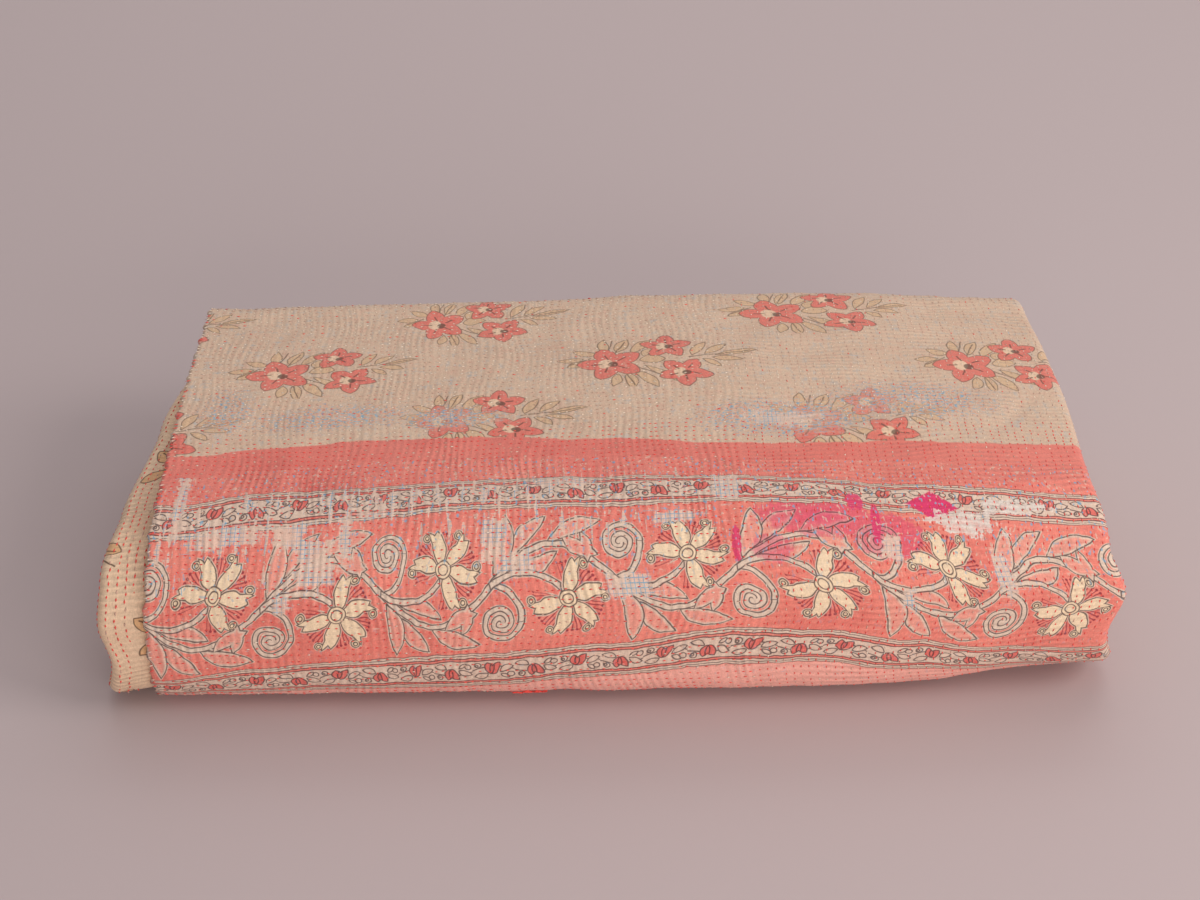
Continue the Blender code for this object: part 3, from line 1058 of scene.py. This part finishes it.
def reverse_material(quilting):
    cloth = Cloth("printed reverse")
    x, y = wobble(cloth)
    fade = cloth.noise(30.0, 30.0, 3.0, 0.6, 2.0)
    y = y - LEAF_START[1]
    row = (y / LEAF_REPEAT[1]).math("FLOOR")
    u = (x - LEAF_START[0] + row * 31.0).mod(LEAF_REPEAT[0]) - LEAF_REPEAT[0] / 2
    v = y.mod(LEAF_REPEAT[1]) - LEAF_REPEAT[1] / 2
    leaves = lowest(lens(u, v, (-18, -6), (-2, 2), 4.6, 1.0), lens(u, v, (2, 4), (15, 14), 4.2, -1.0))
    leaves = lowest(leaves, lowest(lens(u, v, (0, 2), (-9, 17), 3.8),
                                   lens(u, v, (4, -3), (17, -12), 3.6)))
    stem = bar(u, v, (-16, -16), (8, 4), 0.1)
    ribs = lowest(bar(u, v, (-15, -4.5), (-4, 1), 0.05), bar(u, v, (4, 5), (12, 12), 0.05))
    colour = cloth.mix(dye("reverse"), REVERSE_DULL, (fade - 0.35) * 1.2)
    colour = cloth.mix(colour, REVERSE_LEAF, leaves.step(0.4) * 0.7)
    lines = lowest(lowest(abs(leaves), stem), ribs)
    colour = cloth.mix(colour, BROWN, (lines - 0.36).step(0.3) * 0.9)
    # Bump depth in millimetres, then how strongly the ridge shade is painted into the colour.
    return cloth.finish(colour, quilting, 0.80, 0.20)


def thread_material(name, colour):
    material = bpy.data.materials.new(name)
    material.use_nodes = True
    nodes, links = material.node_tree.nodes, material.node_tree.links
    shader = nodes["Principled BSDF"]
    shader.inputs["Roughness"].default_value = 0.7
    shader.inputs["Sheen Weight"].default_value = 0.2
    place = nodes.new("ShaderNodeTexCoord")
    twist = nodes.new("ShaderNodeTexNoise")
    twist.inputs["Scale"].default_value = 420.0
    shades = nodes.new("ShaderNodeValToRGB")
    shades.color_ramp.elements[0].position = 0.3
    shades.color_ramp.elements[1].position = 0.7
    shades.color_ramp.elements[0].color = (*(0.72 * c for c in colour), 1.0)
    shades.color_ramp.elements[1].color = (*(min(1.12 * c, 1.0) for c in colour), 1.0)
    links.new(place.outputs["Object"], twist.inputs["Vector"])
    links.new(twist.outputs["Fac"], shades.inputs["Fac"])
    links.new(shades.outputs["Color"], shader.inputs["Base Color"])
    bump = nodes.new("ShaderNodeBump")
    bump.inputs["Strength"].default_value = 0.4
    bump.inputs["Distance"].default_value = 0.0002
    links.new(twist.outputs["Fac"], bump.inputs["Height"])
    links.new(bump.outputs["Normal"], shader.inputs["Normal"])
    return material


# --- the sheet ---------------------------------------------------------------------------------------
OUTER_CELLS = 180                               # across the outer ply
PLY_CELLS = (OUTER_CELLS, 14, 12, 12)
CREASE_CELLS = 8
WAY_CELLS = (8, 56, 72, 16, 6, 10, 6)           # round each stretch of the way
HEM_STEPS = (0.0004, 0.0011, 0.0022)            # close stations that round the edges off
PUCKER = 0.0008                                 # scallops that the hem stitches pull in the free edge


def flat_places(fold):
    """Stations along the flat sheet, close together at its edges."""
    places, start = [], 0.0
    for ply, cells in enumerate(PLY_CELLS):
        places += [start + fold.size.length * i / cells for i in range(cells)]
        start += fold.size.length
        if ply < PLIES - 1:
            places += [start + fold.turn * i / CREASE_CELLS for i in range(CREASE_CELLS)]
            start += fold.turn
    places.append(start)
    return sorted(places + list(HEM_STEPS) + [start - step for step in HEM_STEPS])


def flat_heights(fold):
    """Stations across the flat sheet."""
    heights = [0.0]
    for stretch, cells in enumerate(WAY_CELLS):
        heights += [fold.along(stretch + (i + 1) / cells) for i in range(cells)]
    return sorted(heights + list(HEM_STEPS) + [heights[-1] - step for step in HEM_STEPS])


def print_point(fold, place, height):
    """Where a point of the sheet lies on the printed design, in millimetres."""
    at = place / MM
    over = (height - fold.foot) / MM
    edges = [read_row(BANDS, at, column) for column in range(1, 6)]
    x = at + read_row(BANDS, at, 6)
    known, printed = (*edges, CALM[0]), (*PRINTED, CALM[1])
    if over <= known[0]:
        return x, over - known[0] + printed[0]
    for low, high, low_print, high_print in zip(known, known[1:], printed, printed[1:]):
        if over <= high:
            return x, blend(low_print, high_print, (over - low) / (high - low))
    return x, over - known[-1] + printed[-1]


def bake_point(fold, place, height, reverse, shown_fold):
    """Layout of the sheet for baking: the outer ply's print takes most of the square."""
    low, high = fold.along(0.9), fold.along(3.9)
    total = fold.heights[-1]
    rise = (0.03 * height / low if height < low else
            0.03 + 0.74 * (height - low) / (high - low) if height < high else
            0.77 + 0.03 * (height - high) / (total - high))
    lap = fold.size.length + fold.turn
    if shown_fold:
        start = 2 * lap - fold.turn - 0.05
        return 0.83 + 0.16 * (place - start) / (fold.turn + 0.10), rise
    if not reverse and place <= lap + 0.05:
        return 0.80 * place / (lap + 0.05), rise
    left = 0.51 if reverse else 0.01
    return left + 0.48 * place / fold.whole, 0.82 + 0.17 * height / total


def cloth_mesh(fold):
    """The whole sheet as one closed mesh: printed side, reverse, and a rounded hem between them."""
    places, heights = flat_places(fold), flat_heights(fold)
    columns, rows = len(places) - 1, len(heights) - 1
    bm = bmesh.new()
    bmesh.ops.create_grid(bm, x_segments=columns, y_segments=rows, size=0.5)
    flat = {}
    for vert in bm.verts:
        place = places[round((vert.co.x + 0.5) * columns)]
        height = heights[round((vert.co.y + 0.5) * rows)]
        vert.co = fold.middle(fold.station_at(place), fold.way_at(height))
        puckered = wave(height * 2 * pi / 0.0104) + 0.8 * wave(height * 2 * pi / 0.023 + 1.0)
        vert.co.x += PUCKER * puckered * exp(-place / 0.004)
        flat[vert] = (place, height)
    bm.normal_update()
    printed = list(bm.verts)
    rim = [edge for edge in bm.edges if edge.is_boundary]
    copied = bmesh.ops.duplicate(bm, geom=bm.verts[:] + bm.edges[:] + bm.faces[:])
    twins = copied["vert_map"]
    for vert in printed:
        place, height = flat[vert]
        near = min(place, fold.whole - place, height, fold.heights[-1] - height)
        half = fold.size.cloth / 2
        full = max(1 - (1 - min(near / half, 1.0)) ** 2, 0.05) ** 0.5
        normal = vert.normal.copy()
        twin = twins[vert]
        flat[twin] = flat[vert]
        middle = vert.co + normal * fold.relief(place, height)
        vert.co = middle + normal * half * full
        twin.co = middle - normal * half * full
    backs = {face for face in copied["geom"] if isinstance(face, bmesh.types.BMFace)}
    bmesh.ops.bridge_loops(bm, edges=rim + [e for e in copied["geom"]
                                            if isinstance(e, bmesh.types.BMEdge) and e.is_boundary])
    bmesh.ops.recalc_face_normals(bm, faces=bm.faces)

    cloth_uv = bm.loops.layers.uv.new("Cloth")
    print_uv = bm.loops.layers.uv.new("Print")
    bake_uv = bm.loops.layers.uv.new("OFBake")
    lap = fold.size.length + fold.turn
    for face in bm.faces:
        face.smooth = True
        corners = [flat[vert] for vert in face.verts]
        place = sum(corner[0] for corner in corners) / len(corners)
        height = sum(corner[1] for corner in corners) / len(corners)
        reverse = face in backs
        shown_fold = reverse and 2 * lap - fold.turn - 0.05 < place < 2 * lap + 0.05
        from_borders = abs(print_point(fold, place, height)[1] - CORAL_MIDDLE)
        face.material_index = 2 if reverse else 0 if from_borders > MATERIAL_REACH else 1
        for loop in face.loops:
            here = flat[loop.vert]
            loop[cloth_uv].uv = here
            loop[print_uv].uv = [value * MM for value in print_point(fold, *here)]
            loop[bake_uv].uv = bake_point(fold, *here, reverse, shown_fold)
    mesh = bpy.data.meshes.new("quilt_cloth")
    bm.to_mesh(mesh)
    bm.free()
    return mesh


def add_object(name, mesh):
    piece = bpy.data.objects.new(name, mesh)
    bpy.context.scene.collection.objects.link(piece)
    return piece


def folded():
    """The fold, set over the CAD solid so that both lie on the same spot."""
    fold = Fold(sizes())
    reach = [fold.middle(fold.station_at(place), way / 8)
             for place in [fold.whole * i / 160 for i in range(161)] for way in range(57)]
    for axis in (0, 1):
        middle = (min(p[axis] for p in reach) + max(p[axis] for p in reach)) / 2
        wanted = (CAD_BOX[0][axis] + CAD_BOX[1][axis]) / 2
        fold.shift = (wanted - middle, 0.0) if axis == 0 else (fold.shift[0], wanted - middle)
    return fold


# --- sewing -------------------------------------------------------------------------------------------
GRAIN = ((-1, 0, 0), (0, -1, 0), (0, 0, 1), (0, 1, 0), (1, 0, 0), (0, 0, -0.6))
GRAIN_FACES = ((0, 1, 2), (0, 2, 3), (4, 2, 1), (4, 3, 2), (0, 5, 1), (0, 3, 5), (4, 1, 5), (4, 5, 3))


class Thread:
    """Collects short stitches into one mesh."""

    def __init__(self):
        self.points, self.faces, self.shades = [], [], []

    def stitch(self, at, normal, heading, half_long, half_wide, high, shade):
        side = normal.cross(heading).normalized()
        start = len(self.points)
        for a, b, c in GRAIN:
            self.points.append(at + heading * (a * half_long) + side * (b * half_wide)
                               + normal * (c * high))
        self.faces += [tuple(start + corner for corner in face) for face in GRAIN_FACES]
        self.shades += [shade] * len(GRAIN_FACES)

    def build(self, name, materials):
        mesh = bpy.data.meshes.new(name)
        mesh.from_pydata(self.points, [], self.faces)
        for material in materials:
            mesh.materials.append(material)
        mesh.polygons.foreach_set("material_index", self.shades)
        mesh.polygons.foreach_set("use_smooth", [True] * len(self.faces))
        mesh.update()
        return add_object(name, mesh)


def sewing_threads():
    return [thread_material("red sewing thread", dye("red_thread")),
            thread_material("faded sewing thread", STITCH_FADED),
            thread_material("undyed sewing thread", STITCH_PALE)]


OVER_BORDERS = 0.246        # height above the foot of the front at which the paler stitches begin
SKIPPED = 0.13              # share of stitches that are worn away


def outer_shade(dice, over):
    """Red on the borders, worn paler over the top."""
    chance = dice.random()
    if over < OVER_BORDERS:
        return 0 if chance < 0.80 else 1 if chance < 0.95 else 2
    return 0 if chance < 0.05 else 1 if chance < 0.62 else 2


def sew_outer(fold, stitches, thread):
    """Rows along the quilt at the left; rows round the pack at the right."""
    dice = Random(stitches.seed)
    low, high = fold.along(0.97), fold.along(3.7)
    turn, pitch, row = stitches.turn / MM, stitches.pitch / MM, stitches.row / MM
    place_end = (fold.size.length + fold.turn * 0.5) / MM

    def sew(s, t, across):
        edge = turn - wave(0.09 * t) * 2.0
        if (s > edge) != across or not 1.5 < s < place_end or not low < t * MM < high:
            return
        if dice.random() < SKIPPED:
            return
        s += dice.gauss(0, 0.30)
        t += dice.gauss(0, 0.30)
        at, normal, along, up = fold.surface(s * MM, t * MM, out=0.00004)
        heading = (up if across else along) + (along if across else up) * dice.gauss(0, 0.10)
        heading = (heading - normal * heading.dot(normal)).normalized()
        half = stitches.long / 2 * dice.uniform(0.75, 1.2)
        thread.stitch(at, normal, heading, half, stitches.thick / 2, stitches.thick * 0.42,
                      outer_shade(dice, t * MM - fold.foot))

    for line in range(int(low / stitches.row), int(high / stitches.row) + 2):
        t = line * row
        for count in range(int(turn / pitch) + 3):
            s = count * pitch
            sew(s - rib_drift(s, t), t, False)
    for line in range(int(turn / row) - 1, int(place_end / row) + 2):
        s = line * row
        for count in range(int(low / stitches.pitch), int(high / stitches.pitch) + 2):
            t = count * pitch
            sew(s, t - rib_drift(t, s), True)


def sew_shown_fold(fold, stitches, thread):
    """Rows round the pack on the reverse, where the left fold sticks out."""
    dice = Random(stitches.seed + 1)
    lap = fold.size.length + fold.turn
    start, end = 2 * lap - fold.turn - 0.036, 2 * lap + 0.010
    low, high = fold.along(0.95), fold.along(3.0)
    for line in range(int((end - start) / stitches.row)):
        place = start + line * stitches.row
        height = low + dice.uniform(0, stitches.pitch)
        while height < high:
            at, normal, along, up = fold.surface(place + dice.gauss(0, 0.0002), height, -1, 0.00004)
            heading = (up + along * dice.gauss(0, 0.08)).normalized()
            shade = 0 if dice.random() < 0.85 else 1
            thread.stitch(at, normal, heading, stitches.long * 0.6 * dice.uniform(0.8, 1.25),
                          stitches.thick * 0.62, stitches.thick * 0.5, shade)
            height += stitches.pitch * dice.uniform(0.9, 1.12)


def sew_hem(fold, stitches, thread):
    """Overcast stitches along the free edge of the outer ply."""
    dice = Random(stitches.seed + 2)
    height = fold.along(0.97)
    while height < fold.along(3.6):
        at, normal, along, up = fold.surface(0.0012, height, out=0.0001)
        heading = (along + up * dice.gauss(0.35, 0.15)).normalized()
        thread.stitch(at, normal, heading, 0.0017 * dice.uniform(0.8, 1.2), 0.0004, 0.0004,
                      dice.choice((0, 0, 2, 2, 1)))
        height += 0.0048 * dice.uniform(0.7, 1.3)


def loose_thread(fold, stitches):
    """A snagged end of red thread low on the front."""
    dice = Random(stitches.seed + 3)
    line = bpy.data.curves.new("loose_thread", "CURVE")
    line.dimensions, line.bevel_depth, line.bevel_resolution = "3D", 0.0005, 2
    line.use_fill_caps = True
    for start, turns in ((0.193, 16), (0.199, 9)):
        path = line.splines.new("POLY")
        path.points.add(turns)
        for count, point in enumerate(path.points):
            place = start + 0.0011 * count + dice.gauss(0, 0.0006)
            height = fold.foot + 0.051 + 0.0016 * wave(count * 1.3) + dice.gauss(0, 0.0004)
            at, normal, along, up = fold.surface(place, height, out=0.0004 + 0.0007 * dice.random())
            point.co = (at.x, at.y, max(at.z, 0.0006), 1.0)
    drawn = bpy.data.objects.new("thread line", line)
    mesh = bpy.data.meshes.new_from_object(drawn)
    bpy.data.objects.remove(drawn)
    mesh.name = "loose_thread"
    mesh.materials.clear()
    mesh.materials.append(thread_material("snagged red thread", dye("red_thread")))
    return add_object("loose_thread", mesh)


# --- operators --------------------------------------------------------------------------------------
class KANTHA_OT_cloth(bpy.types.Operator):
    """Make the folded, printed sheet"""

    bl_idname = "kantha.cloth"
    bl_label = "Cloth"

    def execute(self, context):
        fold = folded()
        quilt = add_object("quilt_cloth", cloth_mesh(fold))
        quilting = quilting_group(context.scene.kantha_stitches)
        for make in (ground_material, border_material, reverse_material):
            quilt.data.materials.append(make(quilting))
        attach(quilt, BODY)
        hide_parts(NODE)
        return {"FINISHED"}


class KANTHA_OT_sewing(bpy.types.Operator):
    """Sew the running stitch and the overcast hem"""

    bl_idname = "kantha.sewing"
    bl_label = "Sewing"

    def execute(self, context):
        fold, stitches = folded(), context.scene.kantha_stitches
        threads = sewing_threads()
        for name, sewers in (("running_stitch", (sew_outer,)),
                             ("fold_and_hem_stitches", (sew_shown_fold, sew_hem))):
            thread = Thread()
            for sew in sewers:
                sew(fold, stitches, thread)
            piece = thread.build(name, threads)
            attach(piece, BODY)
        snag = loose_thread(fold, stitches)
        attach(snag, BODY)
        return {"FINISHED"}


# Columns: name, place from the middle of the quilt, width, height, watts, colour.
LIGHTS = (
    ("window light", (1.9, -0.7, 1.4), 1.2, 1.2, 23.0, (1.0, 0.98, 0.97)),
    ("front fill", (0.8, -2.3, 0.65), 2.2, 0.8, 33.0, (1.0, 0.98, 0.98)),
    ("top light", (0.3, 0.9, 2.2), 1.8, 1.8, 9.0, (1.0, 0.99, 0.99)),
)
WASH_AT, WASH_SIZE, WASH_WATTS = (0.4, 3.4, 2.4), 4.0, 44.0     # lights the floor behind
SURROUND, SURROUND_STRENGTH = (0.93, 0.93, 1.0, 1), 0.38
FLOOR_HALF = 14.0
AIM = (-0.002, 0.015, 0.010)                    # from the middle of the quilt


class KANTHA_OT_stage(bpy.types.Operator):
    """Set the floor, the soft light and the camera"""

    bl_idname = "kantha.stage"
    bl_label = "Stage"

    def execute(self, context):
        scene, stage = context.scene, context.scene.kantha_stage
        bm = bmesh.new()
        bmesh.ops.create_grid(bm, x_segments=1, y_segments=1, size=FLOOR_HALF)
        floor_mesh = bpy.data.meshes.new("floor")
        bm.to_mesh(floor_mesh)
        bm.free()
        floor = add_object("floor", floor_mesh)
        paper = bpy.data.materials.new("floor paper")
        paper.use_nodes = True
        paper.node_tree.nodes["Principled BSDF"].inputs["Base Color"].default_value = (*stage.floor, 1)
        paper.node_tree.nodes["Principled BSDF"].inputs["Roughness"].default_value = 0.85
        floor.data.materials.append(paper)
        middle = (Vector(CAD_BOX[0]) + Vector(CAD_BOX[1])) / 2
        for name, offset, across, up, power, colour in LIGHTS:
            light = bpy.data.lights.new(name, "AREA")
            light.shape, light.size, light.size_y = "RECTANGLE", across, up
            light.energy, light.color = power, colour
            lamp = bpy.data.objects.new(name, light)
            lamp.location = middle + Vector(offset)
            lamp.rotation_euler = (-Vector(offset)).to_track_quat("-Z", "Y").to_euler()
            scene.collection.objects.link(lamp)
        light = bpy.data.lights.new("background wash", "AREA")
        light.shape, light.size, light.energy = "SQUARE", WASH_SIZE, WASH_WATTS
        lamp = bpy.data.objects.new("background wash", light)
        lamp.location = middle + Vector(WASH_AT)
        scene.collection.objects.link(lamp)
        world = bpy.data.worlds.new("soft surround")
        world.use_nodes = True
        world.node_tree.nodes["Background"].inputs["Color"].default_value = SURROUND
        world.node_tree.nodes["Background"].inputs["Strength"].default_value = SURROUND_STRENGTH
        scene.world = world

        lens = bpy.data.cameras.new("camera")
        lens.lens, lens.sensor_width = stage.lens, 36.0
        camera = bpy.data.objects.new("camera", lens)
        look = Vector((sin(stage.yaw) * cos(stage.pitch), cos(stage.yaw) * cos(stage.pitch),
                       -sin(stage.pitch)))
        aim = middle + Vector(AIM)
        camera.location = aim - look * stage.distance
        camera.rotation_euler = look.to_track_quat("-Z", "Y").to_euler()
        scene.collection.objects.link(camera)
        scene.camera = camera
        scene.view_settings.view_transform = "Standard"
        return {"FINISHED"}


class KANTHA_PT_panel(bpy.types.Panel):
    """Sizes of the quilt, its sewing, its colours and its stage"""

    bl_idname = "KANTHA_PT_panel"
    bl_label = "Kantha quilt"
    bl_space_type = "VIEW_3D"
    bl_region_type = "UI"
    bl_category = "Kantha"

    def draw(self, context):
        for title, group, operator in (
                ("Cloth", context.scene.kantha_sizes, "kantha.cloth"),
                ("Sewing", context.scene.kantha_stitches, "kantha.sewing"),
                ("Colours", context.scene.kantha_colours, "kantha.cloth"),
                ("Stage", context.scene.kantha_stage, "kantha.stage")):
            box = self.layout.box()
            box.label(text=title)
            for name in group.bl_rna.properties.keys():
                if name not in ("rna_type", "name"):
                    box.prop(group, name)
            box.operator(operator)


CLASSES = (KanthaSizes, KanthaStitches, KanthaColours, KanthaStage, KANTHA_OT_cloth,
           KANTHA_OT_sewing, KANTHA_OT_stage, KANTHA_PT_panel)


def register():
    for cls in CLASSES:
        bpy.utils.register_class(cls)
    bpy.types.Scene.kantha_sizes = PointerProperty(type=KanthaSizes)
    bpy.types.Scene.kantha_stitches = PointerProperty(type=KanthaStitches)
    bpy.types.Scene.kantha_colours = PointerProperty(type=KanthaColours)
    bpy.types.Scene.kantha_stage = PointerProperty(type=KanthaStage)


def unregister():
    del bpy.types.Scene.kantha_sizes, bpy.types.Scene.kantha_stitches
    del bpy.types.Scene.kantha_colours, bpy.types.Scene.kantha_stage
    for cls in reversed(CLASSES):
        bpy.utils.unregister_class(cls)


def main():
    register()
    for operator in (bpy.ops.kantha.cloth, bpy.ops.kantha.sewing, bpy.ops.kantha.stage):
        if operator() != {"FINISHED"}:
            raise RuntimeError(f"{operator} did not finish")


if __name__ == "__main__":
    main()
